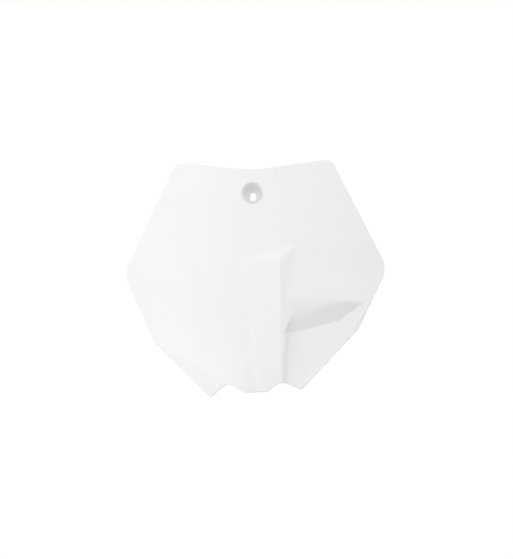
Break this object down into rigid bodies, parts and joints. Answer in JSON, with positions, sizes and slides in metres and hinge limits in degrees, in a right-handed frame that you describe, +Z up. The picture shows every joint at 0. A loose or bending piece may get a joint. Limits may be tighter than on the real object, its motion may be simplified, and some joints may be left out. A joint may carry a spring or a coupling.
{
  "type": "motorcycle front number board",
  "caption": "Thin bowed white plastic board for the front of an off-road motorcycle, with a slotted screw cup, a raised centre band, a stepped lower corner and back pegs",
  "frame": {"origin": "centre of the screw slot, on the back face of the screw cup where the board seats on its bracket", "axes": "X to the viewer's right seen from the front, Y from the front of the board towards the fork, Z up as fitted"},
  "size_m": [0.2904, 0.0393, 0.2601],
  "materials": {
    "moulded_plastic": "gloss"
  },
  "bodies": {
    "root": {"number_board": "moulded_plastic"}
  },
  "joints": []
}
